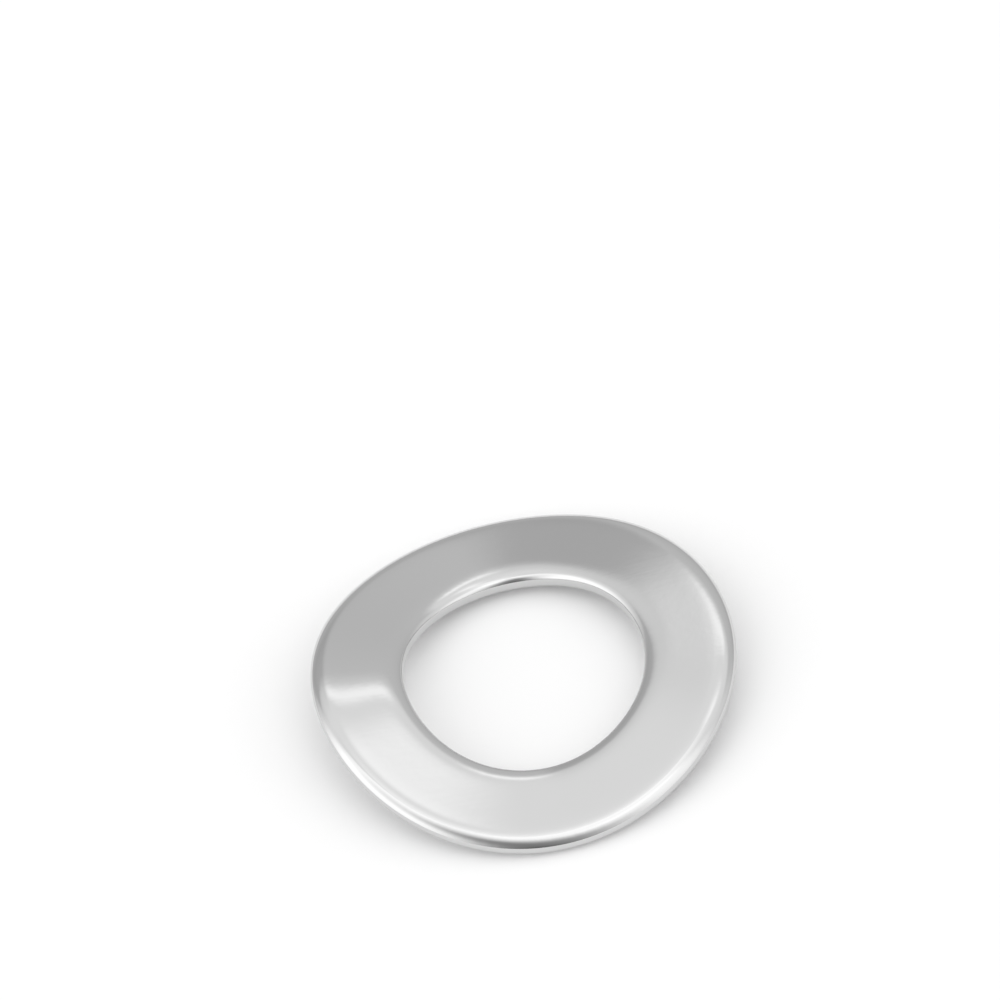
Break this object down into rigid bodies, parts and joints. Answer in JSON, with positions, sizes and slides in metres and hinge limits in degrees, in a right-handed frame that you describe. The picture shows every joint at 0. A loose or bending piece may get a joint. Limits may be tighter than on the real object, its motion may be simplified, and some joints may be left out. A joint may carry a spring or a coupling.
{
  "type": "wave washer",
  "caption": "Spring washer of sheet steel: a round ring pressed into gentle waves, with rounded edges, that takes up play and keeps a bolted joint under spring load.",
  "frame": {"origin": "on the bore's axis, in the plane that the wave troughs rest on", "axes": "+Z along the bore's axis, up from the surface that the washer lies on; +X through the sharper crest; +Y through a trough"},
  "size_m": [0.03, 0.03, 0.0047],
  "materials": {
    "spring_steel": "satin"
  },
  "bodies": {
    "root": {"wave_washer": "spring_steel"}
  },
  "joints": []
}
